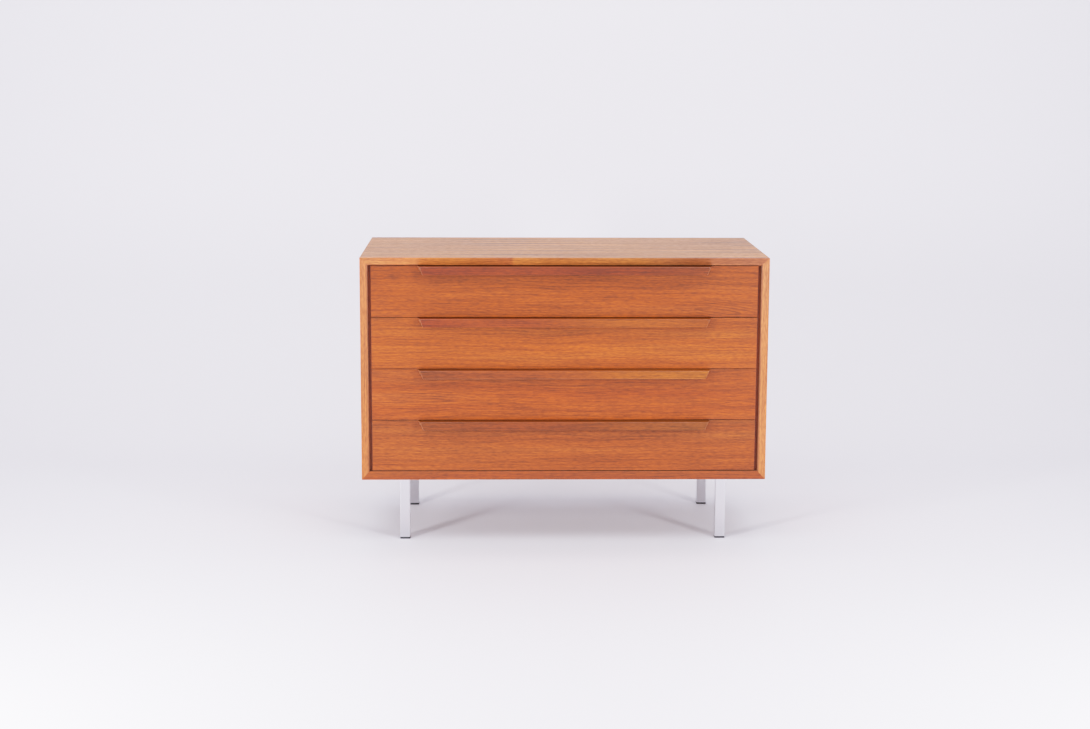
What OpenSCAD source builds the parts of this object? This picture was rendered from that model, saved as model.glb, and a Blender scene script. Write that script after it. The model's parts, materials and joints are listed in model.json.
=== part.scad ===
// Low chest of drawers: a mitred teak case on square chromed legs, with side-hung
// drawers that fill the front and open by full-width lip pulls.
// Millimetres. The origin is on the floor, under the centre of the whole chest.
// The drawers face -Y, +X is to the right as seen from the front, +Z is up.

/* [Case] */
// Width of the case, over the side panels
case_w = 1000; // [800:10:1400]
// Depth of the case, from the front arris to the rear edge
case_d = 500; // [400:10:650]
// Height of the case, without its legs
case_h = 552; // [400:4:800]
// Thickness of the four case panels
panel_t = 19; // [15:0.5:25]
// Depth of the solid lipping along each front edge
lipping_d = 14; // [12:1:20]
// How far the front bevel falls back from the outer to the inner edge
bevel_depth = 10; // [4:1:12]
// Thickness of the tongue glued across each mitred corner
spline_t = 4; // [3:0.5:5]
// Width of that tongue, half of it in each panel
spline_w = 12; // [8:1:13]

/* [Back panel] */
// Thickness of the back panel
back_t = 6; // [4:0.5:9]
// How far the back panel laps over the edge of each case panel
back_lap = 9; // [7:0.5:10]

/* [Legs] */
// Height of the legs, from the floor to the case
leg_h = 165; // [100:5:250]
// Outer width of the square leg tube
leg_size = 25; // [20:1:35]
// Wall of the leg tube
leg_wall = 1.5; // [1:0.25:3]
// Outer corner radius of the leg tube
leg_corner_r = 2; // [1.5:0.25:4]
// Front legs, distance of the tube from the side of the case
leg_inset_front = 91; // [60:1:150]
// Rear legs, distance of the tube from the side of the case
leg_inset_rear = 99; // [60:1:150]
// Front legs, distance of the tube behind the front arris
leg_setback_front = 59; // [40:1:90]
// Rear legs, distance of the tube from the rear edge
leg_setback_rear = 51; // [40:1:90]
// Width of the square plate welded on top of each leg
plate_w = 80; // [70:1:96]
// Thickness of that plate
plate_t = 3; // [2:0.5:5]
// Height of the foot cap that shows below the tube
cap_h = 4.5; // [3:0.5:10]
// Height of the plug that holds the foot cap in the tube
cap_plug_h = 15; // [8:1:30]

/* [Drawers] */
// Number of drawers, one above the other
drawer_count = 4; // [2:1:4]
// Open seam above, below and between the drawer fronts
seam = 2; // [1.5:0.25:4]
// Recess between each end of a drawer front and the side panel
reveal_w = 7.5; // [5:0.5:12]
// How far the drawer fronts stand behind the front arris of the case
face_setback = 12; // [12:1:20]
// Thickness of a drawer front
front_t = 19; // [16:1:25]
// Thickness of a drawer side
side_t = 14; // [13:0.5:18]
// How far a drawer side stays above the lower edge of its front
side_lift = 8; // [4:1:12]
// How far a drawer side stays below the upper edge of its front
side_drop = 16; // [14:1:24]
// Thickness of the drawer back
box_back_t = 12; // [10:1:16]
// Room behind a closed drawer
box_back_room = 10; // [5:1:30]
// How far the drawer sides run on behind the drawer back
side_tail = 8; // [4:1:15]
// Thickness of the drawer bottom
bottom_t = 5; // [4:0.5:8]
// Depth of the groove that holds the drawer bottom and of the housing for the back
housing_d = 4; // [3:0.5:5]
// Number of dovetails on each drawer side
tail_count = 3; // [2:1:4]
// Length of a dovetail, which the drawer front covers
tail_len = 13; // [8:1:14]

/* [Runners] */
// Height of a drawer runner
runner_h = 16; // [10:1:22]
// Depth of the runner groove in a drawer side
groove_d = 7; // [5:0.5:8]
// Room between a runner and the floor of its groove
runner_gap = 1; // [0.5:0.25:2]
// Room above, below and in front of a runner in its groove
runner_fit = 0.5; // [0.3:0.05:1]
// Distance from a drawer front to the front end of the runners
runner_setback = 24; // [20:1:60]
// How far the reveal strips stand behind the drawer fronts
strip_setback = 8; // [2:1:15]
// Depth of a reveal strip
strip_d = 22; // [10:1:30]
// Room between a reveal strip and the end of a drawer front
strip_fit = 0.8; // [0.5:0.1:2]

/* [Pulls] */
// Length of a pull at its root, against the drawer front
pull_l = 720; // [400:10:760]
// How far a pull stands out from the drawer front
pull_out = 25; // [20:1:35]
// Height of the hanging lip
pull_h = 21; // [16:1:30]
// Thickness of the lip at its lower edge
pull_lip = 6; // [4:0.5:10]
// How far the lower edge of the lip leans back
pull_lean = 2.5; // [0:0.5:5]
// Thickness of the web between lip and drawer front
pull_web = 9; // [7:0.5:12]
// Height of the root where the pull meets the drawer front
pull_root_h = 13; // [10:0.5:16]
// How much shorter each end is at the front than at the root
end_taper_out = 6; // [0:1:20]
// How much shorter each end is at the lower edge than at the top
end_taper_down = 8; // [0:1:20]

/* [Screws] */
// Shank diameter of the screws
screw_d = 3.5; // [3:0.5:4]
// Diameter of a countersunk head
head_d = 7; // [6:0.5:8]
// Depth of a countersunk head
head_h = 2.4; // [2:0.2:3]
// Room all round a screw in its bore
screw_fit = 0.05; // [0.02:0.01:0.2]
// Screws along each runner
runner_screw_count = 3; // [2:1:4]
// Screws along each pull
pull_screw_count = 4; // [2:1:6]
// Screws along the top and along the bottom of the back panel
back_screw_count = 6; // [3:1:10]

/* [Fits] */
// Room round glued housings, grooves and dovetails
joint_fit = 0.1; // [0.05:0.05:0.3]

/* [Hidden] */
$fn = 48;
teak = "#c8754a";
teak_edge = "#cf8a58";
teak_dark = "#8f4b30";
beech = "#c9a77c";
plywood = "#bb9468";
chrome = "#d5d4d8";
black = "#2b2a2c";
zinc = "#a9a9a6";

// Planes of the case
pull_reach = pull_out - face_setback;
y_front = -(case_d - pull_reach) / 2;
y_back = y_front + case_d;
z_mid = leg_h + case_h / 2;
inner_x = case_w / 2 - panel_t;
inner_z = leg_h + panel_t;
inner_h = case_h - 2 * panel_t;
panel_y = y_front + lipping_d;
back_y = y_back - back_t;
spline_from_corner = 0.4 * panel_t;
spline_margin = 12;
spline_l = back_y - panel_y - 2 * spline_margin;

// Drawers
front_x = inner_x - reveal_w;
front_h = (inner_h - (drawer_count + 1) * seam) / drawer_count;
face_y = y_front + face_setback;
rear_of_front_y = face_y + front_t;
box_end_y = back_y - box_back_room;
box_back_y = box_end_y - side_tail - box_back_t;
side_h = front_h - side_lift - side_drop;
bottom_lift = 8;
bottom_z = side_lift + bottom_lift;
box_inner_x = front_x - side_t;
tail_pitch = side_h / tail_count;
tail_root_w = 0.5 * tail_pitch;
tail_flare = tail_len / 6;

// Runners
runner_t = reveal_w + groove_d - runner_gap;
runner_y = rear_of_front_y + runner_setback;
runner_l = back_y - runner_y;
runner_z = side_lift + side_h / 2;
strip_t = reveal_w - strip_fit;

// Screws
shank_tip = 3;
screw_margin = 30;
runner_screw_l = runner_t + 12;
pull_screw_l = front_t + 14;
pull_screw_z = front_h - pull_web / 2 - 1;
back_screw_l = back_t + 16;
leg_screw_l = plate_t + 14;
pan_h = 2.4;
pan_d = 8;
plate_screw_in = 10;
plate_corner_r = 6;

SIDES = ["left", "right"];
ENDS = ["front", "rear"];
DRAWER_PARTS = ["front", "left_side", "right_side", "back", "bottom", "pull", "pull_screws"];
CASE_NODES = ["top_panel", "bottom_panel", "left_side_panel", "right_side_panel",
    "top_lipping", "bottom_lipping", "left_side_lipping", "right_side_lipping",
    "corner_splines", "back_panel", "back_panel_screws",
    "left_reveal_strip", "right_reveal_strip", "runner_screws", "leg_screws"];

function side_sign(s) = s == "left" ? -1 : 1;
function spread(count, length) = [for (k = [0:count - 1]) length * (k / (count - 1) - 0.5)];
// Height of the lower edge of a drawer front, counted from the top drawer
function drawer_z(i) = inner_z + seam + (drawer_count - i) * (front_h + seam);
function leg_x(e, s) =
    side_sign(s) * (case_w / 2 - leg_size / 2 - (e == "front" ? leg_inset_front : leg_inset_rear));
function leg_y(e) = e == "front"
    ? y_front + leg_setback_front + leg_size / 2
    : y_back - leg_setback_rear - leg_size / 2;

// ---- shapes shared by several pieces ----

// An outline in Y and Z, drawn out along X
module along_x(length) {
    rotate([90, 0, 90]) linear_extrude(length, center = true) children();
}

// An outline in X and Z, drawn out along Y from one plane to another
module along_y(from, to) {
    translate([0, to, 0]) rotate([90, 0, 0]) linear_extrude(to - from) children();
}

module rounded_square(w, r) {
    square([w - 2 * r, w], center = true);
    square([w, w - 2 * r], center = true);
    for (x = [-1, 1], y = [-1, 1])
        translate([x, y] * (w / 2 - r)) circle(r);
}

// One of the four case boards, its outer face on z = 0, both ends mitred
module mitred_board(length) {
    intersection() {
        along_x(length) children();
        along_y(y_front, y_back) polygon([
            [-length / 2, 0],
            [length / 2, 0],
            [length / 2 - panel_t, -panel_t],
            [-length / 2 + panel_t, -panel_t]]);
    }
}

// Turns a board from the top of the case to one of its four sides
module on_case(angle, reach) {
    translate([0, 0, z_mid]) rotate([0, angle, 0]) translate([0, 0, reach]) children();
}

module panel_outline() {
    polygon([
        [panel_y, 0],
        [y_back, 0],
        [y_back, back_lap - panel_t],
        [back_y, back_lap - panel_t],
        [back_y, -panel_t],
        [panel_y, -panel_t]]);
}

module lipping_outline() {
    polygon([
        [y_front, 0],
        [panel_y, 0],
        [panel_y, -panel_t],
        [y_front + bevel_depth, -panel_t]]);
}

// The tongues of the four corners, or the slots for them
module splines(grow) {
    x = inner_x + spline_from_corner;
    z = case_h / 2 - panel_t + spline_from_corner;
    for (sx = [-1, 1], sz = [-1, 1])
        translate([sx * x, (panel_y + back_y) / 2, z_mid + sz * z])
            rotate([0, 45 * sx * sz, 0])
                cube([spline_w + 2 * grow, spline_l + 2 * grow, spline_t + 2 * grow], center = true);
}

// ---- screws: each points along +Z, its head on z = 0 ----

module screw_body(length, grow) {
    r = screw_d / 2 + grow;
    cylinder(r1 = head_d / 2 + grow, r2 = r, h = head_h);
    cylinder(r = r, h = length - shank_tip);
    translate([0, 0, length - shank_tip]) cylinder(r1 = r, r2 = r / 3, h = shank_tip);
}

module cross_slot() {
    for (a = [0, 90])
        rotate([0, 0, a]) cube([head_d * 0.6, 0.8, 2.4], center = true);
}

module countersunk_screw(length) {
    difference() {
        screw_body(length, 0);
        cross_slot();
    }
}

module pan_screw(length) {
    difference() {
        union() {
            translate([0, 0, -pan_h]) cylinder(r1 = pan_d / 2 - 0.8, r2 = pan_d / 2, h = 0.8);
            translate([0, 0, 0.8 - pan_h]) cylinder(d = pan_d, h = pan_h - 0.8);
            cylinder(d = screw_d, h = length - shank_tip);
            translate([0, 0, length - shank_tip])
                cylinder(d1 = screw_d, d2 = screw_d / 3, h = shank_tip);
        }
        translate([0, 0, -pan_h]) cross_slot();
    }
}

module at_runner_screws(s, i) {
    for (y = spread(runner_screw_count, runner_l - 2 * screw_margin))
        translate([side_sign(s) * (inner_x - runner_t), runner_y + runner_l / 2 + y,
                drawer_z(i) + runner_z])
            rotate([0, 90 * side_sign(s), 0]) children();
}

module at_pull_screws() {
    for (x = spread(pull_screw_count, pull_l - 4 * screw_margin))
        translate([x, rear_of_front_y, pull_screw_z]) rotate([90, 0, 0]) children();
}

module at_back_screws() {
    side_z = case_h / 2 - panel_t + back_lap / 2;
    side_x = inner_x + back_lap / 2;
    for (x = spread(back_screw_count, case_w - 4 * screw_margin), sz = [-1, 1])
        translate([x, y_back, z_mid + sz * side_z]) rotate([90, 0, 0]) children();
    for (z = spread(3, case_h - 6 * screw_margin), sx = [-1, 1])
        translate([sx * side_x, y_back, z_mid + z]) rotate([90, 0, 0]) children();
}

module at_leg_screws(e, s) {
    reach = plate_w / 2 - plate_screw_in;
    for (x = [-1, 1], y = [-1, 1])
        translate([leg_x(e, s) + x * reach, leg_y(e) + y * reach, leg_h - plate_t]) children();
}

// ---- case ----

module top_panel() color(teak) difference() {
    on_case(0, case_h / 2) mitred_board(case_w) panel_outline();
    splines(joint_fit);
    at_back_screws() screw_body(back_screw_l, screw_fit);
}

module bottom_panel() color(teak) difference() {
    on_case(180, case_h / 2) mitred_board(case_w) panel_outline();
    splines(joint_fit);
    at_back_screws() screw_body(back_screw_l, screw_fit);
    for (e = ENDS, s = SIDES)
        at_leg_screws(e, s) cylinder(d = screw_d + 2 * screw_fit, h = leg_screw_l + 0.5);
}

module side_panel(s) color(teak) difference() {
    on_case(90 * side_sign(s), case_w / 2) mitred_board(case_h) panel_outline();
    splines(joint_fit);
    at_back_screws() screw_body(back_screw_l, screw_fit);
    for (i = [1:drawer_count])
        at_runner_screws(s, i) screw_body(runner_screw_l, screw_fit);
}

module top_lipping() color(teak_edge)
    on_case(0, case_h / 2) mitred_board(case_w) lipping_outline();

module bottom_lipping() color(teak_edge)
    on_case(180, case_h / 2) mitred_board(case_w) lipping_outline();

module side_lipping(s) color(teak_edge)
    on_case(90 * side_sign(s), case_w / 2) mitred_board(case_h) lipping_outline();

module corner_splines() color(plywood) splines(0);

module back_panel() color(plywood) difference() {
    w = 2 * (inner_x + back_lap - joint_fit);
    h = inner_h + 2 * (back_lap - joint_fit);
    translate([-w / 2, back_y, z_mid - h / 2]) cube([w, back_t, h]);
    at_back_screws() screw_body(back_screw_l, screw_fit);
}

module back_panel_screws() color(zinc) at_back_screws() countersunk_screw(back_screw_l);

module reveal_strip(s) color(teak_dark)
    translate([s == "left" ? -inner_x : inner_x - strip_t, face_y + strip_setback, inner_z])
        cube([strip_t, strip_d, inner_h]);

// ---- runners, with a rounded front end ----

module runner_shape(s, thickness, grow) {
    h = runner_h + 2 * grow;
    x = side_sign(s) * (inner_x - runner_t + thickness / 2);
    translate([x, 0, runner_z]) {
        translate([0, runner_y + runner_h / 2, 0])
            rotate([0, 90, 0]) cylinder(d = h, h = thickness, center = true);
        translate([-thickness / 2, runner_y + runner_h / 2, -h / 2])
            cube([thickness, runner_l - runner_h / 2, h]);
    }
}

module runner(s, i) color(beech) difference() {
    translate([0, 0, drawer_z(i)]) runner_shape(s, runner_t, 0);
    at_runner_screws(s, i) screw_body(runner_screw_l, screw_fit);
}

module runner_screws() color(zinc)
    for (s = SIDES, i = [1:drawer_count])
        at_runner_screws(s, i) countersunk_screw(runner_screw_l);

// ---- legs ----

module leg(e, s) color(chrome) difference() {
    translate([leg_x(e, s), leg_y(e), 0]) {
        translate([0, 0, cap_h]) linear_extrude(leg_h - plate_t - cap_h) difference() {
            rounded_square(leg_size, leg_corner_r);
            square(leg_size - 2 * leg_wall, center = true);
        }
        translate([0, 0, leg_h - plate_t])
            linear_extrude(plate_t) rounded_square(plate_w, plate_corner_r);
    }
    at_leg_screws(e, s) translate([0, 0, -1])
        cylinder(d = screw_d + 2 * screw_fit, h = plate_t + 2);
}

module foot_cap(e, s) color(black) translate([leg_x(e, s), leg_y(e), 0]) {
    plug_w = leg_size - 2 * leg_wall - 2 * joint_fit;
    linear_extrude(cap_h) rounded_square(leg_size, leg_corner_r);
    translate([0, 0, cap_h]) linear_extrude(cap_plug_h) square(plug_w, center = true);
}

module leg_screws() color(zinc)
    for (e = ENDS, s = SIDES)
        at_leg_screws(e, s) pan_screw(leg_screw_l);

// ---- drawers: z = 0 is the lower edge of the drawer front ----

// The dovetails of one drawer side, or their sockets in the drawer front
module dovetails(grow) {
    tip = tail_len + grow;
    for (k = [0:tail_count - 1])
        translate([rear_of_front_y, side_lift + (k + 0.5) * tail_pitch])
            polygon([
                [1, -tail_root_w / 2 - grow],
                [1, tail_root_w / 2 + grow],
                [0, tail_root_w / 2 + grow],
                [-tip, tail_root_w / 2 + tail_flare + grow],
                [-tip, -tail_root_w / 2 - tail_flare - grow],
                [0, -tail_root_w / 2 - grow]]);
}

module bottom_board(grow) {
    x = box_inner_x + housing_d - joint_fit + grow;
    y = rear_of_front_y - housing_d + joint_fit - grow;
    translate([-x, y, bottom_z - grow])
        cube([2 * x, box_end_y - y, bottom_t + 2 * grow]);
}

module back_board(grow) {
    x = box_inner_x + housing_d - joint_fit + grow;
    z = bottom_z + bottom_t + grow;
    translate([-x, box_back_y - grow, z])
        cube([2 * x, box_back_t + 2 * grow, side_lift + side_h - housing_d - z + grow]);
}

module drawer_front(i) color(teak) translate([0, 0, drawer_z(i)]) difference() {
    translate([-front_x, face_y, 0]) cube([2 * front_x, front_t, front_h]);
    for (sx = [-1, 1])
        translate([sx * (front_x - side_t / 2), 0, 0])
            along_x(side_t + 2 * joint_fit) dovetails(joint_fit);
    bottom_board(joint_fit);
    at_pull_screws() screw_body(pull_screw_l, screw_fit);
}

module drawer_side(s, i) color(beech) translate([0, 0, drawer_z(i)]) difference() {
    union() {
        translate([s == "left" ? -front_x : box_inner_x, rear_of_front_y, side_lift])
            cube([side_t, box_end_y - rear_of_front_y, side_h]);
        translate([side_sign(s) * (front_x - side_t / 2), 0, 0])
            along_x(side_t) dovetails(0);
    }
    runner_shape(s, runner_t + 2 * runner_gap, runner_fit);
    translate([0, runner_l, 0]) runner_shape(s, runner_t + 2 * runner_gap, runner_fit);
    bottom_board(joint_fit);
    back_board(joint_fit);
}

module drawer_back(i) color(beech) translate([0, 0, drawer_z(i)]) back_board(0);

module drawer_bottom(i) color(plywood) translate([0, 0, drawer_z(i)]) bottom_board(0);

module pull_outline() {
    y = face_y - pull_out;
    polygon([
        [y, front_h],
        [face_y, front_h],
        [face_y, front_h - pull_root_h],
        [face_y - 3, front_h - pull_root_h],
        [face_y - 6, front_h - pull_web],
        [y + pull_lean + pull_lip + 3, front_h - pull_web],
        [y + pull_lean + pull_lip, front_h - pull_web - 3],
        [y + pull_lean + pull_lip, front_h - pull_h],
        [y + pull_lean, front_h - pull_h]]);
}

// Everything past the slanting end of a pull
module pull_end_cut() {
    yaw = -atan(end_taper_out / pull_out);
    tilt = atan(end_taper_down / pull_h * cos(yaw));
    translate([pull_l / 2 - end_taper_out, face_y - pull_out, front_h])
        rotate([0, tilt, yaw])
            translate([0, -2 * pull_out, -2 * pull_h]) cube([3, 5, 4] * pull_out);
}

module drawer_pull(i) color(teak_edge) translate([0, 0, drawer_z(i)]) difference() {
    along_x(pull_l + 2 * pull_out) pull_outline();
    pull_end_cut();
    mirror([1, 0, 0]) pull_end_cut();
    at_pull_screws() screw_body(pull_screw_l, screw_fit);
}

module drawer_pull_screws(i) color(zinc) translate([0, 0, drawer_z(i)])
    at_pull_screws() countersunk_screw(pull_screw_l);

// ---- the nodes ----

top_panel();
bottom_panel();
top_lipping();
bottom_lipping();
corner_splines();
back_panel();
back_panel_screws();
runner_screws();
leg_screws();
for (s = SIDES) {
    side_panel(s);
    side_lipping(s);
    reveal_strip(s);
}
for (e = ENDS, s = SIDES) {
    leg(e, s);
    foot_cap(e, s);
}
for (i = [1:drawer_count]) {
    for (s = SIDES) {
        runner(s, i);
        drawer_side(s, i);
    }
    drawer_front(i);
    drawer_back(i);
    drawer_bottom(i);
    drawer_pull(i);
    drawer_pull_screws(i);
}
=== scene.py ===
"""The looks of a low teak chest of drawers on chromed legs, and the studio around it."""
import json
import math

import bmesh
import bpy
from mathutils import Matrix, Vector


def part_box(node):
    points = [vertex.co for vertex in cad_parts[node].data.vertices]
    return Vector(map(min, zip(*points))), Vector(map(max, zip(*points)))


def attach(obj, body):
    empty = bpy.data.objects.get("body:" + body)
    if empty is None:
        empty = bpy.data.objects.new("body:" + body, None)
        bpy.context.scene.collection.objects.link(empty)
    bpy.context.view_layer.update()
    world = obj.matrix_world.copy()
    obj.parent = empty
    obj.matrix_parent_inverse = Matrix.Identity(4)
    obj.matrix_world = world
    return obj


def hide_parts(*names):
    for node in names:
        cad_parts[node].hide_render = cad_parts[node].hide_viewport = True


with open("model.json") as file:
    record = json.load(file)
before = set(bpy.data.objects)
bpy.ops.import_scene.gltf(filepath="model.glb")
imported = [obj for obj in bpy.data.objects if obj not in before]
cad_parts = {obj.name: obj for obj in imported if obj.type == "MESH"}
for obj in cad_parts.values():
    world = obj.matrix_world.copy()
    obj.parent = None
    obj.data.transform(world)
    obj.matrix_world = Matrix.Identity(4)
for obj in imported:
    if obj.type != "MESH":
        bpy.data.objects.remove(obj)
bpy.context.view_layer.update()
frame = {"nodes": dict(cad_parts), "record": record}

NODES = frame["nodes"]
BODIES = frame["record"]["behaviour"]["bodies"]
DRAWERS = [body for body in BODIES if body.startswith("drawer_")]
SIDES = ("left", "right")

MM = 0.001
TINY = 0.01 * MM    # points nearer than this are one point
SAME = 0.05 * MM    # places nearer than this are the same place

# ---- places, from the frame ----

CASE_LOW = Vector(map(min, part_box("left_side_panel")[0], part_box("left_side_lipping")[0]))
CASE_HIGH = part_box("right_side_panel")[1]
CASE_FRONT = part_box("top_lipping")[0].y
FACE_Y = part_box("drawer_1_front")[0].y
ROOT_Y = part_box("drawer_1_pull")[1].y

# ---- rounding of the edges ----

CORNER_R = 1.2 * MM     # the four long outer corners of the case
ARRIS_R = 2.0 * MM      # the sharp front arris, rubbed smooth over the years
INNER_R = 0.8 * MM      # the inner edge of the bevel
BOARD_R = 0.5 * MM      # drawer parts and the rear of the case
PULL_R = 1.2 * MM       # pulls are worn by hands
PULL_ROOT = 1 * MM      # but stay sharp this near to the drawer front
PULL_SHORT = 4 * MM     # and so do edges shorter than this
BEVEL_DEPTH = 10 * MM   # how far the bevel of a lipping reaches back
LONG = 100 * MM         # edges longer than this run the length of a board
CREASE = math.radians(20)           # an edge that turns more than this is a sharp one
CORNER_CUTS = (18, 45, 72)          # degrees, the flats that round an outer corner
COPLANAR = math.radians(0.5)        # triangles that turn less than this are one flat face


# ---- shader tools ----

def linear(colour):
    """An sRGB hex colour such as "c8754a" as linear RGBA."""
    parts = [int(colour[i:i + 2], 16) / 255 for i in (0, 2, 4)]
    return tuple(c / 12.92 if c <= 0.04045 else ((c + 0.055) / 1.055) ** 2.4 for c in parts) + (1.0,)


def add_node(tree, kind, inputs=None, stops=None, **settings):
    """Adds a node. An input is a value or the socket that feeds it. Stops are a ramp's places, each with
    a hex colour or a grey."""
    node = tree.nodes.new(kind)
    for name, value in settings.items():
        setattr(node, name, value)
    for key, value in (inputs or {}).items():
        if isinstance(value, bpy.types.NodeSocket):
            tree.links.new(value, node.inputs[key])
        else:
            node.inputs[key].default_value = value
    if stops:
        ramp = node.color_ramp
        while len(ramp.elements) < len(stops):
            ramp.elements.new(1.0)
        for element, (place, colour) in zip(ramp.elements, stops):
            element.position = place
            element.color = linear(colour) if isinstance(colour, str) else (colour, colour, colour, 1.0)
    return node


def start_material(name):
    """A new material with its shader, and the piece's own coordinates in metres."""
    material = bpy.data.materials.new(name)
    material.use_nodes = True
    tree = material.node_tree
    shader = tree.nodes["Principled BSDF"]
    at = add_node(tree, "ShaderNodeTexCoord").outputs["Object"]
    return material, tree, shader, at


# The settings of a plain mix of colours, and of one that shades a colour
MIX = {"data_type": "RGBA"}
MULTIPLY = {"data_type": "RGBA", "blend_type": "MULTIPLY"}


def long_noise(tree, at, along_mm, across_mm, detail=2.0, rough=0.55):
    """Noise drawn out along X: along_mm and across_mm are the length and width of one patch."""
    size = (1 / (along_mm * MM), 1 / (across_mm * MM), 1 / (across_mm * MM))
    stretched = add_node(tree, "ShaderNodeVectorMath", {0: at, 1: size}, operation="MULTIPLY")
    return add_node(tree, "ShaderNodeTexNoise", {
        "Vector": stretched.outputs[0], "Scale": 1.0, "Detail": detail, "Roughness": rough}).outputs["Fac"]


# ---- wood ----

WANDER = (0.0, 6 * MM, 18 * MM)   # how far the fibres stray from straight
WANDER_RATE = (4.0, 7.0, 7.0)     # bends to the metre, along and across the grain
DRIFT_MM = (640, 26)              # a stretch of one colour, along and across the grain
PATCH_MM = (300, 25)              # a stretch where the rings show
FLECK_MM = (14, 2.3)              # a fleck of darker or paler fibre
PORE_MM = (9, 0.7)                # real pores are 0.3 mm wide; these are wider so that they show
RUB_AND_HIGHLIGHT_MM = (40, 40)                 # a patch of the pale edge tone, which is wear and a painted highlight
ARCH_CORE = 14 * MM               # the rings show fully this near to the tree's middle line
ARCH_REACH = 42 * MM              # and fade out by here
STREAK_DARK = 0.34                # how much darker than the board a streak can be
STREAK_PALE = 0.26                # and how much paler
FLECK_DARK = 0.26                 # the same two for a fleck
FLECK_PALE = 0.24
PORE_DEPTH = 0.3                  # how much of its own colour a pore shows
PORE_RELIEF = 0.2 * MM            # how deep a pore is
FIBRE_SHARE = -0.6                # pale fibre stands up by this share of that, and minus is up
GLOSS_ROUGH = 0.08                # dark fibre is this much rougher than the board
GLOSS_SMOOTH = 0.06               # and pale fibre this much smoother
CUT_X, CUT_Y = 1.37, 0.31         # metres from one board's cut to the next, for each unit of seed
OILED_IOR = 1.45
# How a board is turned so that its grain runs along X
TURN = {"x": (0, 0, 0), "y": (0, 0, math.radians(-90)), "z": (0, math.radians(90), 0)}


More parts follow.
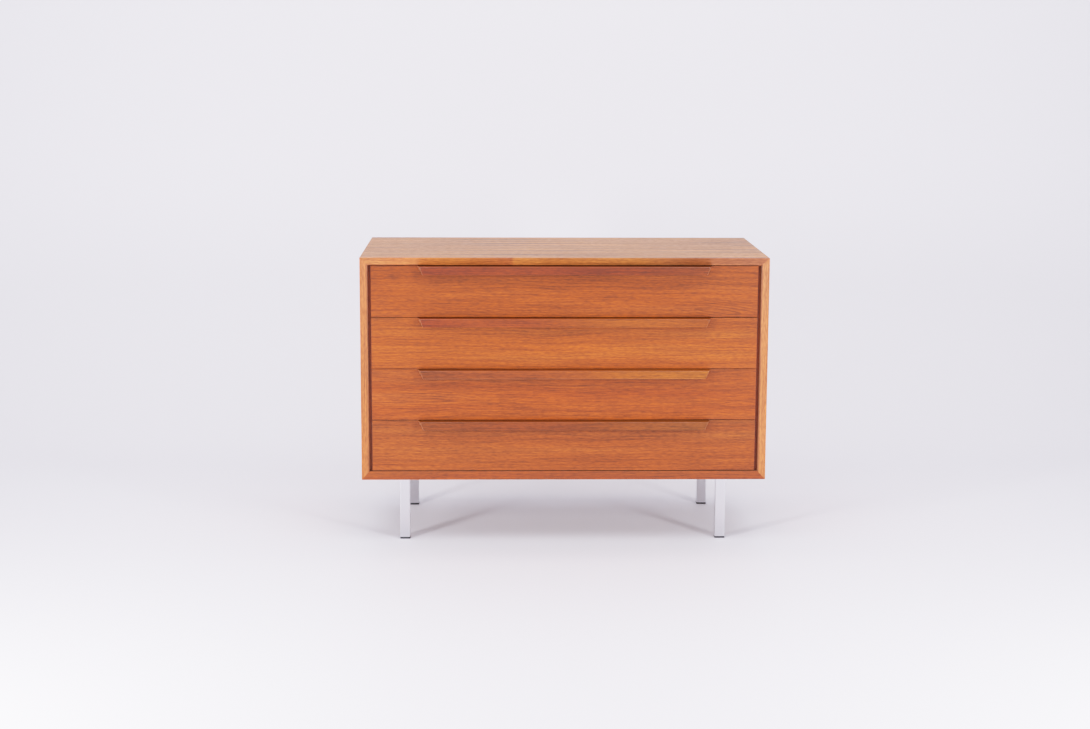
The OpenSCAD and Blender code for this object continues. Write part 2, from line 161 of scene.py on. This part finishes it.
def wood(name, grain, seed, tones, pore, heart=(0.0, 0.3, 0.3), tilt=4.0, ring_mm=6.0, ring_depth=0.2,
         contrast=1.0, splices=None, worn_highlight_tone="c98a62", roughness=0.42, bump=0.15, painted_shade=None,
         streak_mm=(190, 2.7), lines=1.0):
    """Sawn and oiled wood: drifting colour, growth rings, streaks, flecks and pores, one above the other.

    grain is the axis along the grain. tones are the three colours that the wood drifts through, pore is
    the colour of open pores, and the worn tone that of rubbed edges, which are paler partly from wear and
    partly as a painted highlight. heart is a point on the tree's middle line, which crosses the board at
    tilt degrees and draws arches there. ring_mm is the width of a year, and ring_depth how dark its late
    wood is. splices are the places along the grain, in mm, where the colour changes, with the colours. The
    painted shade is a darkening painted towards a place where shade falls: its axis, that place, the place
    where the wood has its own colour again, and its shade. streak_mm is the length and width of a streak,
    lines is how strong streaks are, and contrast is how strong flecks and pores are.
    """
    material, tree, shader, at = start_material(name)
    along = add_node(tree, "ShaderNodeMapping", {
        "Vector": at, "Rotation": TURN[grain], "Location": (seed * CUT_X, seed * CUT_Y, 0)}).outputs[0]
    # The fibres wander a little
    bends = add_node(tree, "ShaderNodeVectorMath", {
        0: along, 1: WANDER_RATE}, operation="MULTIPLY").outputs[0]
    bends = add_node(tree, "ShaderNodeTexNoise", {
        "Vector": bends, "Scale": 1.0, "Detail": 2.0, "Roughness": 0.5}).outputs["Color"]
    bends = add_node(tree, "ShaderNodeVectorMath", {0: bends, 1: (-0.5, -0.5, -0.5)}).outputs[0]
    wander = add_node(tree, "ShaderNodeVectorMath", {0: bends, 1: WANDER}, operation="MULTIPLY").outputs[0]
    bent = add_node(tree, "ShaderNodeVectorMath", {0: along, 1: wander}).outputs[0]
    # Growth rings around the tree's middle line
    turned = (math.radians(2 * tilt / 3), math.radians(tilt), math.radians(tilt))
    core = add_node(tree, "ShaderNodeMapping", {"Vector": at, "Rotation": TURN[grain]}).outputs[0]
    core = add_node(tree, "ShaderNodeMapping", {
        "Vector": core, "Location": heart, "Rotation": turned}, vector_type="TEXTURE").outputs[0]
    core = add_node(tree, "ShaderNodeVectorMath", {0: core, 1: wander}).outputs[0]
    flat = add_node(tree, "ShaderNodeVectorMath", {0: core, 1: (0.0, 1.0, 1.0)}, operation="MULTIPLY")
    radius = add_node(tree, "ShaderNodeVectorMath", {
        0: flat.outputs[0]}, operation="LENGTH").outputs["Value"]
    rings = add_node(tree, "ShaderNodeMath", {
        0: radius, 1: 1 / (ring_mm * MM)}, operation="MULTIPLY").outputs[0]
    rings = add_node(tree, "ShaderNodeMath", {0: rings}, operation="FRACT").outputs[0]
    late_tone = 1 - ring_depth
    late = add_node(tree, "ShaderNodeValToRGB", {0: rings}, stops=[
        (0.0, 1.0), (0.5, 0.98), (0.84, late_tone), (0.9, late_tone), (1.0, 1.0)]).outputs[0]
    # The rings show near the arches, and here and there elsewhere
    flat = add_node(tree, "ShaderNodeVectorMath", {0: core, 1: (0.3, 1.0, 1.0)}, operation="MULTIPLY")
    away = add_node(tree, "ShaderNodeVectorMath", {0: flat.outputs[0]}, operation="LENGTH").outputs["Value"]
    arch = add_node(tree, "ShaderNodeMapRange", {
        "Value": away, "From Min": ARCH_CORE, "From Max": ARCH_REACH,
        "To Min": 1.0, "To Max": 0.0}).outputs[0]
    patch = add_node(tree, "ShaderNodeMapRange", {
        "Value": long_noise(tree, along, *PATCH_MM), "From Min": 0.45, "From Max": 0.7,
        "To Max": 0.5}).outputs[0]
    shown = add_node(tree, "ShaderNodeMath", {0: arch, 1: patch}, operation="MAXIMUM").outputs[0]

    if splices:
        far = add_node(tree, "ShaderNodeSeparateXYZ", {0: at}).outputs["XYZ".index(grain.upper())]
        low, high = splices[0][0] * MM, splices[-1][0] * MM
        far = add_node(tree, "ShaderNodeMapRange", {
            "Value": far, "From Min": low, "From Max": high}).outputs[0]
        colour = add_node(tree, "ShaderNodeValToRGB", {0: far}, stops=[
            ((place * MM - low) / (high - low), tone) for place, tone in splices]).outputs[0]
    else:
        colour = add_node(tree, "ShaderNodeValToRGB", {0: long_noise(tree, bent, *DRIFT_MM)}, stops=[
            (0.26, tones[0]), (0.5, tones[1]), (0.74, tones[2])]).outputs[0]
    colour = add_node(tree, "ShaderNodeMix", {0: shown, 6: colour, 7: late}, **MULTIPLY).outputs[2]
    # Long streaks, and flecks on top of them
    streak = long_noise(tree, bent, *streak_mm, 2.0, 0.6)
    shade = add_node(tree, "ShaderNodeValToRGB", {0: streak}, stops=[
        (0.3, 1 - STREAK_DARK * lines), (0.5, 1.0), (0.7, 1 + STREAK_PALE * lines)]).outputs[0]
    colour = add_node(tree, "ShaderNodeMix", {0: 1.0, 6: colour, 7: shade}, **MULTIPLY).outputs[2]
    fleck = long_noise(tree, along, *FLECK_MM, 1.0, 0.6)
    shade = add_node(tree, "ShaderNodeValToRGB", {0: fleck}, stops=[
        (0.3, 1 - FLECK_DARK * contrast), (0.5, 1.0), (0.7, 1 + FLECK_PALE * contrast)]).outputs[0]
    colour = add_node(tree, "ShaderNodeMix", {0: 1.0, 6: colour, 7: shade}, **MULTIPLY).outputs[2]
    # Open pores
    pores = add_node(tree, "ShaderNodeMapRange", {
        "Value": long_noise(tree, along, *PORE_MM, 1.0), "From Min": 0.6, "From Max": 0.72}).outputs[0]
    open_pores = add_node(tree, "ShaderNodeMath", {
        0: pores, 1: PORE_DEPTH * contrast}, operation="MULTIPLY").outputs[0]
    colour = add_node(tree, "ShaderNodeMix", {0: open_pores, 6: colour, 7: linear(pore)}, **MIX).outputs[2]
    # Painted shade: the wood darkens towards a given place, where shade falls
    if painted_shade:
        axis, corner, unshaded, tone = painted_shade
        place = add_node(tree, "ShaderNodeSeparateXYZ", {0: at}).outputs[axis]
        out = add_node(tree, "ShaderNodeMapRange", {
            "Value": place, "From Min": corner, "From Max": unshaded},
            interpolation_type="SMOOTHSTEP").outputs[0]
        shade = add_node(tree, "ShaderNodeValToRGB", {0: out}, stops=[(0.0, tone), (1.0, 1.0)]).outputs[0]
        colour = add_node(tree, "ShaderNodeMix", {0: 1.0, 6: colour, 7: shade}, **MULTIPLY).outputs[2]
    # Rubbed edges and the pulls' end faces are paler, in patches: partly wear, partly a painted highlight
    wear_and_highlight = add_node(tree, "ShaderNodeAttribute", attribute_name="wear_and_highlight").outputs["Fac"]
    patches = add_node(tree, "ShaderNodeValToRGB", {0: long_noise(tree, at, *RUB_AND_HIGHLIGHT_MM)}, stops=[
        (0.3, 0.5), (0.6, 1.0)]).outputs[0]
    rub_and_highlight = add_node(tree, "ShaderNodeMath", {0: wear_and_highlight, 1: patches}, operation="MULTIPLY").outputs[0]
    colour = add_node(tree, "ShaderNodeMix", {0: rub_and_highlight, 6: colour, 7: linear(worn_highlight_tone)}, **MIX).outputs[2]

    gloss = add_node(tree, "ShaderNodeMapRange", {
        "Value": fleck, "From Min": 0.3, "From Max": 0.7,
        "To Min": roughness + GLOSS_ROUGH, "To Max": roughness - GLOSS_SMOOTH}).outputs[0]
    height = add_node(tree, "ShaderNodeMath", {
        0: fleck, 1: FIBRE_SHARE, 2: pores}, operation="MULTIPLY_ADD").outputs[0]
    relief = add_node(tree, "ShaderNodeBump", {
        "Height": height, "Strength": bump, "Distance": PORE_RELIEF}, invert=True).outputs[0]
    for socket, value in (("Base Color", colour), ("Roughness", gloss), ("Normal", relief)):
        tree.links.new(value, shader.inputs[socket])
    shader.inputs["IOR"].default_value = OILED_IOR
    return material


# ---- mesh tools ----

def clean_copy(node):
    """The solid of a CAD node as a bmesh with whole faces in the place of triangles."""
    mesh = bmesh.new()
    mesh.from_mesh(NODES[node].data)
    bmesh.ops.remove_doubles(mesh, verts=mesh.verts, dist=TINY)
    bmesh.ops.dissolve_limit(mesh, angle_limit=COPLANAR, verts=mesh.verts, edges=mesh.edges)
    mesh.faces.layers.float.new("wear_and_highlight")
    for face in mesh.faces:
        face.smooth = False
    return mesh


def ease(mesh, radius, wanted, rub_and_highlight=1.0):
    """Rounds the sharp outer edges that wanted(edge) names, and gives them a share of the pale edge tone,
    which is wear and a painted highlight.
    """
    edges = [e for e in mesh.edges
             if len(e.link_faces) == 2 and e.is_convex and e.calc_face_angle() > CREASE and wanted(e)]
    made = bmesh.ops.bevel(mesh, geom=edges, offset=radius, offset_type="OFFSET", segments=3,
                           profile=0.5, affect="EDGES", clamp_overlap=True, material=-1)
    wear_and_highlight = mesh.faces.layers.float["wear_and_highlight"]
    for face in made["faces"]:
        face.smooth = True
        face[wear_and_highlight] = rub_and_highlight


def round_corner(mesh, corner, outward, radius):
    """Rounds a mitred corner of the case with flat cuts that touch a cylinder of that radius."""
    centre = corner - outward * radius
    for angle in CORNER_CUTS:
        lean = math.radians(angle)
        normal = Vector((outward.x * math.cos(lean), 0, outward.z * math.sin(lean)))
        cut = bmesh.ops.bisect_plane(
            mesh, geom=mesh.verts[:] + mesh.edges[:] + mesh.faces[:], dist=TINY / 10,
            plane_co=centre + normal * radius, plane_no=normal, clear_outer=True)
        rim = [e for e in cut["geom_cut"] if isinstance(e, bmesh.types.BMEdge) and e.is_boundary]
        if rim:
            bmesh.ops.edgeloop_fill(mesh, edges=rim)


def near(a, b):
    return abs(a - b) < SAME


def both_ends(edge, test):
    return all(test(v.co) for v in edge.verts)


def along_board(test):
    """Says whether a long edge lies where the test holds."""
    return lambda edge: both_ends(edge, test) and edge.calc_length() > LONG


def finish_piece(mesh, node, material):
    """Makes the bmesh an object that stands for the CAD node and rides on the same body."""
    bmesh.ops.recalc_face_normals(mesh, faces=mesh.faces)
    data = bpy.data.meshes.new("finished_" + node)
    mesh.to_mesh(data)
    mesh.free()
    data.materials.append(material)
    piece = bpy.data.objects.new("finished_" + node, data)
    bpy.context.scene.collection.objects.link(piece)
    body = next(b for b, members in BODIES.items() if node in members)
    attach(piece, body)
    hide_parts(node)


def repaint(node, material):
    """Gives a CAD node that keeps its shape its real finish."""
    data = NODES[node].data
    data.materials.clear()
    data.materials.append(material)


# ---- case ----

AXIS_X, AXIS_Z = 0, 2
REVEAL_SHADE_W = 4 * MM   # painted shade: the lipping darkens this far from the drawers, where the recess is in shade
REVEAL_SHADE = 0.3        # down to this share of its colour
TEAK_PORE = "5a2a10"
# Oiled teak: golden on the top, whose paler tone is partly painted sheen, redder on the sides, dull
# underneath
TEAK_TOP_AND_SHEEN = ("a86626", "b27030", "bc7c40")
TEAK_SIDE = ("a5561c", "ae5e24", "b6682c")
TEAK_UNDER = ("7c5c46", "86664e", "907058")
LIPPING = {
    "bottom": ("8b3a08", "91410a", "97470c"),
    "left_side": ("b8662e", "c06c34", "c8743e"),
    "right_side": ("ba6830", "c27038", "ca7842"),
}
# The top lipping is spliced left of the middle. The left length darkens towards the splice, and the
# right one starts golden there and darkens towards its end.
TOP_SPLICES = (
    (-500, "c27744"), (-411, "c6703b"), (-290, "bd6e32"), (-218, "b1652f"), (-130, "ae6034"),
    (-124, "ca7a3c"), (-12, "bb6e34"), (97, "be7339"), (182, "b56f36"), (254, "a46236"),
    (315, "98562d"), (500, "a0603e"))

for index, (side, sx, sz) in enumerate((
        ("top", 0, 1), ("bottom", 0, -1), ("left_side", -1, 0), ("right_side", 1, 0))):
    corners = [Vector((x, 0, z)) for x in (-1, 1) for z in (-1, 1) if sx * x >= 0 and sz * z >= 0]
    for part in ("panel", "lipping"):
        node = f"{side}_{part}"
        solid = clean_copy(node)
        for out in corners:
            corner = Vector(((CASE_LOW.x if out.x < 0 else CASE_HIGH.x), 0,
                             (CASE_LOW.z if out.z < 0 else CASE_HIGH.z)))
            round_corner(solid, corner, out, CORNER_R)
        low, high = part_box(node)
        if part == "lipping":
            ease(solid, ARRIS_R, along_board(lambda c: near(c.y, low.y)))
            inner = low.y + BEVEL_DEPTH
            ease(solid, INNER_R, along_board(lambda c: near(c.y, inner)), rub_and_highlight=0.1)
        else:
            ease(solid, BOARD_R, along_board(lambda c: near(c.y, high.y)))
        grain = "z" if sx else "x"
        seed = 3.1 + 2.7 * index + (0.9 if part == "lipping" else 0.0)   # any numbers, all different
        if node == "top_panel":
            finish = wood(f"oiled_teak_{node}", grain, seed, TEAK_TOP_AND_SHEEN, TEAK_PORE,
                          heart=(0.39, 0.0, high.z), tilt=3.0, ring_mm=16, ring_depth=0.35,
                          contrast=1.2, streak_mm=(560, 13), lines=2.1)
        elif part == "panel":
            tones = TEAK_UNDER if side == "bottom" else TEAK_SIDE
            finish = wood(f"oiled_teak_{node}", grain, seed, tones, TEAK_PORE)
        else:
            beside = high.x if sx < 0 else low.x
            # Painted shade: the side lippings darken beside the drawers, where the recess is in shade
            shaded_edge = (AXIS_X, beside, beside + sx * REVEAL_SHADE_W, REVEAL_SHADE) if sx else None
            # The lippings' pale edge tone is partly wear and partly a painted highlight on the arris
            finish = wood(f"oiled_teak_{node}", grain, seed, LIPPING.get(side), TEAK_PORE, worn_highlight_tone="e8bc9c",
                          splices=TOP_SPLICES if side == "top" else None, painted_shade=shaded_edge)
        finish_piece(solid, node, finish)

# Teak darkened as painted shade, quiet, for the strips in the recess beside the drawers
SHADED_REVEAL_TEAK = wood("teak_reveal_painted_shade", "z", 21.0, ("803008", "8a3a0c", "924410"), "40180a")
for side in SIDES:
    repaint(f"{side}_reveal_strip", SHADED_REVEAL_TEAK)

# Sealed plywood, pale with faint wide rings
PLY = wood("sealed_plywood", "x", 33.0, ("a98257", "b58e62", "bd9a6e"), "7b5a37", ring_mm=9, ring_depth=0.1,
           contrast=0.6, roughness=0.55)
for node in ("back_panel", "corner_splines"):
    repaint(node, PLY)

# ---- drawers ----

CHIPPED_PULL = 3         # its lower edge has lost its colour
CHIPPED_WEAR = 0.8
PULL_EDGE_PALE_SHARE = 0.25      # the other edges of the pulls keep this share of the pale edge tone, wear and painted highlight
LEDGE_SHADE_H = 52 * MM  # painted shade: the front is darkened this far below its pull, where the pull's shadow falls
LEDGE_SHADE = 0.84       # down to this share of its colour, right under the pull
FRONT_TONES = {
    1: ("924104", "9a4607", "a24e13"),
    2: ("9f4907", "a64e0b", "ad5715"),
    3: ("994205", "a14908", "a95218"),
    4: ("96440a", "9d4a10", "a45218"),
}
# Where the tree's middle line crosses each front, along and up in metres, and its tilt in degrees
FRONT_HEART = {1: (0.385, 0.585, 6.0), 2: (-1.2, 0.2, 3.0), 3: (-0.33, 0.36, 4.0), 4: (1.1, 0.2, 3.0)}
# The colour along each pull, at places in mm from its middle
PULL_TONES = {
    1: ((-360, "782d04"), (-140, "783006"), (60, "762d04"), (200, "732e04"), (360, "783508")),
    2: ((-360, "7c2e04"), (-230, "8a3a04"), (-84, "883904"),
        (37, "904304"), (146, "9b4c06"), (360, "904404")),
    3: ((-360, "7b3808"), (-230, "883d08"), (-84, "8c3f08"),
        (37, "944508"), (146, "9b4e08"), (360, "9d540e")),
    4: ((-360, "7d3a08"), (-130, "7d3708"), (12, "7f3908"), (146, "833f08"), (360, "844512")),
}
BEECH_PORE = "8d6338"
BEECH_TONES = ("b98f62", "c6a075", "cfab82")

for number in range(1, len(DRAWERS) + 1):
    own = f"drawer_{number}_"
    heart_x, heart_z, tilt = FRONT_HEART[number]
    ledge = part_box(own + "pull")[0].z
    # Each front carries painted shade under its pull
    face = wood(f"oiled_teak_drawer_{number}", "x", 41.0 + 5.3 * number, FRONT_TONES[number], TEAK_PORE,
                heart=(heart_x, FACE_Y + 1.5 * MM, heart_z), tilt=tilt, ring_depth=0.45,
                painted_shade=(AXIS_Z, ledge, ledge - LEDGE_SHADE_H, LEDGE_SHADE))
    solid = clean_copy(own + "front")
    ease(solid, BOARD_R, lambda e: both_ends(e, lambda c: near(c.y, FACE_Y)))
    finish_piece(solid, own + "front", face)

    handle = wood(f"oiled_teak_pull_{number}", "x", 71.0 + 3.9 * number, None, "401a0a",
                  splices=PULL_TONES[number], worn_highlight_tone="b8764e", roughness=0.4)
    solid = clean_copy(own + "pull")
    ease(solid, PULL_R, lambda e: (
        both_ends(e, lambda c: c.y < ROOT_Y - PULL_ROOT) and e.calc_length() > PULL_SHORT))
    wear_and_highlight = solid.faces.layers.float["wear_and_highlight"]
    middle = sum(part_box(own + "pull"), Vector()).z / 2
    for surface in solid.faces:
        chipped = number == CHIPPED_PULL and surface.calc_center_median().z < middle
        surface[wear_and_highlight] *= CHIPPED_WEAR if chipped else PULL_EDGE_PALE_SHARE
        # The pulls' end faces take the full pale tone: a painted highlight
        lit_end_face = abs(surface.normal.x) > 0.6
        if lit_end_face:
            surface[wear_and_highlight] = 1.0
    finish_piece(solid, own + "pull", handle)

# Waxed beech, pale and even
BEECH = wood("waxed_beech_sides", "y", 97.0, BEECH_TONES, BEECH_PORE, ring_mm=6, ring_depth=0.1,
             contrast=0.5, roughness=0.5)
BEECH_BACK = wood("waxed_beech_backs", "x", 101.0, BEECH_TONES, BEECH_PORE, ring_mm=6, ring_depth=0.1,
                  contrast=0.5, roughness=0.5)
for body in DRAWERS:
    for side in SIDES:
        solid = clean_copy(f"{body}_{side}_side")
        low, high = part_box(f"{body}_{side}_side")
        ease(solid, BOARD_R, along_board(lambda c: near(c.z, high.z)))
        finish_piece(solid, f"{body}_{side}_side", BEECH)
    repaint(body + "_back", BEECH_BACK)
    repaint(body + "_bottom", PLY)
for node in NODES:
    if node.startswith("runner_") and node != "runner_screws":
        repaint(node, BEECH)


# ---- metal and moulded parts ----

def polished_chrome():
    """Decorative chrome plate on steel: a bright mirror, a little cloudy from years of cleaning."""
    smear_mm, ripple_mm = 16.67, 1.111
    material, tree, shader, at = start_material("polished_chrome")
    shader.inputs["Metallic"].default_value = 1.0
    shader.inputs["Base Color"].default_value = linear("dcdbde")
    smear = add_node(tree, "ShaderNodeTexNoise", {
        "Vector": at, "Scale": 1 / (smear_mm * MM), "Detail": 4.0}).outputs["Fac"]
    rough = add_node(tree, "ShaderNodeMapRange", {
        "Value": smear, "From Min": 0.3, "From Max": 0.75, "To Min": 0.06, "To Max": 0.16}).outputs[0]
    ripple = add_node(tree, "ShaderNodeTexNoise", {
        "Vector": at, "Scale": 1 / (ripple_mm * MM), "Detail": 1.0}).outputs["Fac"]
    relief = add_node(tree, "ShaderNodeBump", {
        "Height": ripple, "Strength": 0.03, "Distance": 0.1 * MM}).outputs[0]
    tree.links.new(rough, shader.inputs["Roughness"])
    tree.links.new(relief, shader.inputs["Normal"])
    return material


def moulded_feet():
    """Black polyethylene, moulded with a fine matt grain and greyed by dust in patches."""
    grain_mm, dust_mm = 0.714, 8.333
    material, tree, shader, at = start_material("moulded_black_polyethylene")
    grain = add_node(tree, "ShaderNodeTexNoise", {
        "Vector": at, "Scale": 1 / (grain_mm * MM), "Detail": 2.0}).outputs["Fac"]
    dust = add_node(tree, "ShaderNodeTexNoise", {
        "Vector": at, "Scale": 1 / (dust_mm * MM), "Detail": 3.0}).outputs["Fac"]
    colour = add_node(tree, "ShaderNodeValToRGB", {0: dust}, stops=[
        (0.35, "1b1a1d"), (0.75, "3a3839")]).outputs[0]
    rough = add_node(tree, "ShaderNodeMapRange", {
        "Value": grain, "To Min": 0.45, "To Max": 0.65}).outputs[0]
    relief = add_node(tree, "ShaderNodeBump", {
        "Height": grain, "Strength": 0.2, "Distance": 0.1 * MM}).outputs[0]
    for socket, value in (("Base Color", colour), ("Roughness", rough), ("Normal", relief)):
        tree.links.new(value, shader.inputs[socket])
    shader.inputs["IOR"].default_value = 1.5
    return material


def zinc_plate():
    """Zinc-plated steel screws, dulled and a little mottled."""
    cloud_mm = 2.222
    material, tree, shader, at = start_material("dulled_zinc_plate")
    shader.inputs["Metallic"].default_value = 1.0
    cloud = add_node(tree, "ShaderNodeTexNoise", {
        "Vector": at, "Scale": 1 / (cloud_mm * MM), "Detail": 3.0}).outputs["Fac"]
    colour = add_node(tree, "ShaderNodeValToRGB", {0: cloud}, stops=[
        (0.3, "8f8c84"), (0.7, "b9b7b0")]).outputs[0]
    rough = add_node(tree, "ShaderNodeMapRange", {
        "Value": cloud, "To Min": 0.3, "To Max": 0.5}).outputs[0]
    tree.links.new(colour, shader.inputs["Base Color"])
    tree.links.new(rough, shader.inputs["Roughness"])
    return material


CHROME = polished_chrome()
FEET = moulded_feet()
ZINC = zinc_plate()
for node in NODES:
    if node.startswith("leg_") and node != "leg_screws":
        repaint(node, CHROME)
    elif node.startswith("foot_cap_"):
        repaint(node, FEET)
    elif node.endswith("screws"):
        repaint(node, ZINC)


# ---- studio ----

def studio_paint():
    """Satin white studio sheet: mostly matt, with a broad dull sheen at low angles."""
    material, tree, shader, _ = start_material("satin_studio_sheet")
    shader.inputs["Base Color"].default_value = linear("f0eff4")
    shader.inputs["Roughness"].default_value = 0.55
    # The sheet is clear from its rear side, so that the chest can be seen from behind it
    rear = add_node(tree, "ShaderNodeNewGeometry").outputs["Backfacing"]
    clear = add_node(tree, "ShaderNodeBsdfTransparent").outputs[0]
    paint = add_node(tree, "ShaderNodeMixShader", {0: rear, 1: shader.outputs[0], 2: clear}).outputs[0]
    tree.links.new(paint, tree.nodes["Material Output"].inputs["Surface"])
    return material


def studio_sheet():
    """Floor and rear wall in one sweep, joined by a wide cove."""
    near_y, wall_y, cove_r, half_w, top = -7.0, 1.5, 0.8, 5.0, 3.6
    mesh = bmesh.new()
    outline = [(near_y, 0.0), (wall_y - cove_r, 0.0)]
    outline += [(wall_y - cove_r + cove_r * math.sin(t), cove_r - cove_r * math.cos(t))
                for t in (math.radians(a) for a in range(6, 91, 6))]
    outline += [(wall_y, top)]
    verts = [mesh.verts.new((-half_w, y, z)) for y, z in outline]
    edges = [mesh.edges.new(pair) for pair in zip(verts, verts[1:])]
    grown = bmesh.ops.extrude_edge_only(mesh, edges=edges)
    moved = [v for v in grown["geom"] if isinstance(v, bmesh.types.BMVert)]
    bmesh.ops.translate(mesh, verts=moved, vec=(2 * half_w, 0, 0))
    mesh.normal_update()
    bmesh.ops.reverse_faces(mesh, faces=[f for f in mesh.faces if f.normal.z - f.normal.y < 0])
    for face in mesh.faces:
        face.smooth = True
    data = bpy.data.meshes.new("studio_sweep")
    mesh.to_mesh(data)
    mesh.free()
    data.materials.append(studio_paint())
    sweep = bpy.data.objects.new("studio_sweep", data)
    bpy.context.scene.collection.objects.link(sweep)


def area_light(name, place, aim, size, watts, colour=(1.0, 0.985, 1.06)):
    """A rectangular soft box at a place, looking at another."""
    data = bpy.data.lights.new(name, "AREA")
    data.shape = "RECTANGLE"
    data.size, data.size_y = size
    data.energy = watts
    data.color = colour
    lamp = bpy.data.objects.new(name, data)
    lamp.location = place
    lamp.rotation_euler = (Vector(aim) - Vector(place)).to_track_quat("-Z", "Y").to_euler()
    lamp.visible_camera = False
    bpy.context.scene.collection.objects.link(lamp)


studio_sheet()
# Two narrow soft boxes in front draw the fanned shadows of the legs; the other two lights fill in
chest, softbox = (0, 0, 0.35), (0.3, 0.7)
area_light("left_softbox", (-1.81, -2.11, 0.91), chest, softbox, 42)
area_light("right_softbox", (1.70, -2.19, 0.91), chest, softbox, 33)
area_light("ceiling_bounce", (0, -1.9, 3.2), (0, -1.6, 0), (4.0, 1.6), 56)
area_light("wall_wash", (0, 0.2, 3.2), (0, 1.5, 1.2), (4.0, 0.5), 20)

world = bpy.data.worlds.new("studio_air")
bpy.context.scene.world = world
world.use_nodes = True
world.node_tree.nodes["Background"].inputs["Color"].default_value = linear("eeecf4")
world.node_tree.nodes["Background"].inputs["Strength"].default_value = 0.83


def camera_curve():
    """A camera's soft shoulder: true colour up to the knee, and highlights that flatten above it."""
    knee, reach = 0.3, 4.0
    view = bpy.context.scene.view_settings
    view.view_transform = "Standard"
    view.use_curve_mapping = True
    mapping = view.curve_mapping
    mapping.use_clip = False
    mapping.clip_max_x = reach
    curve = mapping.curves[3]
    curve.points[0].location = (0.0, 0.0)
    curve.points[1].location = (reach, 1.0)
    for light in (0.15, knee, 0.35, 0.42, 0.5, 0.6, 0.7, 0.85, 1.0, 1.2, 1.5, 1.9, 2.4, 3.0):
        over = max(light - knee, 0.0) / (1 - knee)
        curve.points.new(light, min(light, knee) + (1 - knee) * (1 - math.exp(-over)))
    mapping.update()


camera_curve()


# ---- camera ----

def camera():
    """A short telephoto a little left of the middle, looking down on the chest."""
    place = (-0.1716, CASE_FRONT - 4.6852, 1.2317)
    yaw, pitch, roll = (math.radians(a) for a in (1.510, 9.421, 0.236))
    ahead = Vector((math.sin(yaw) * math.cos(pitch), math.cos(yaw) * math.cos(pitch), -math.sin(pitch)))
    level = Vector((math.cos(yaw), -math.sin(yaw), 0))
    up = level.cross(ahead)
    right = level * math.cos(roll) + up * math.sin(roll)
    up = up * math.cos(roll) - level * math.sin(roll)
    data = bpy.data.cameras.new("camera")
    data.sensor_width = 36.0
    data.lens = 63.95
    lens = bpy.data.objects.new("camera", data)
    turn = Matrix((right, up, -ahead)).transposed().to_4x4()
    lens.matrix_world = Matrix.Translation(place) @ turn
    bpy.context.scene.collection.objects.link(lens)
    bpy.context.scene.camera = lens


camera()
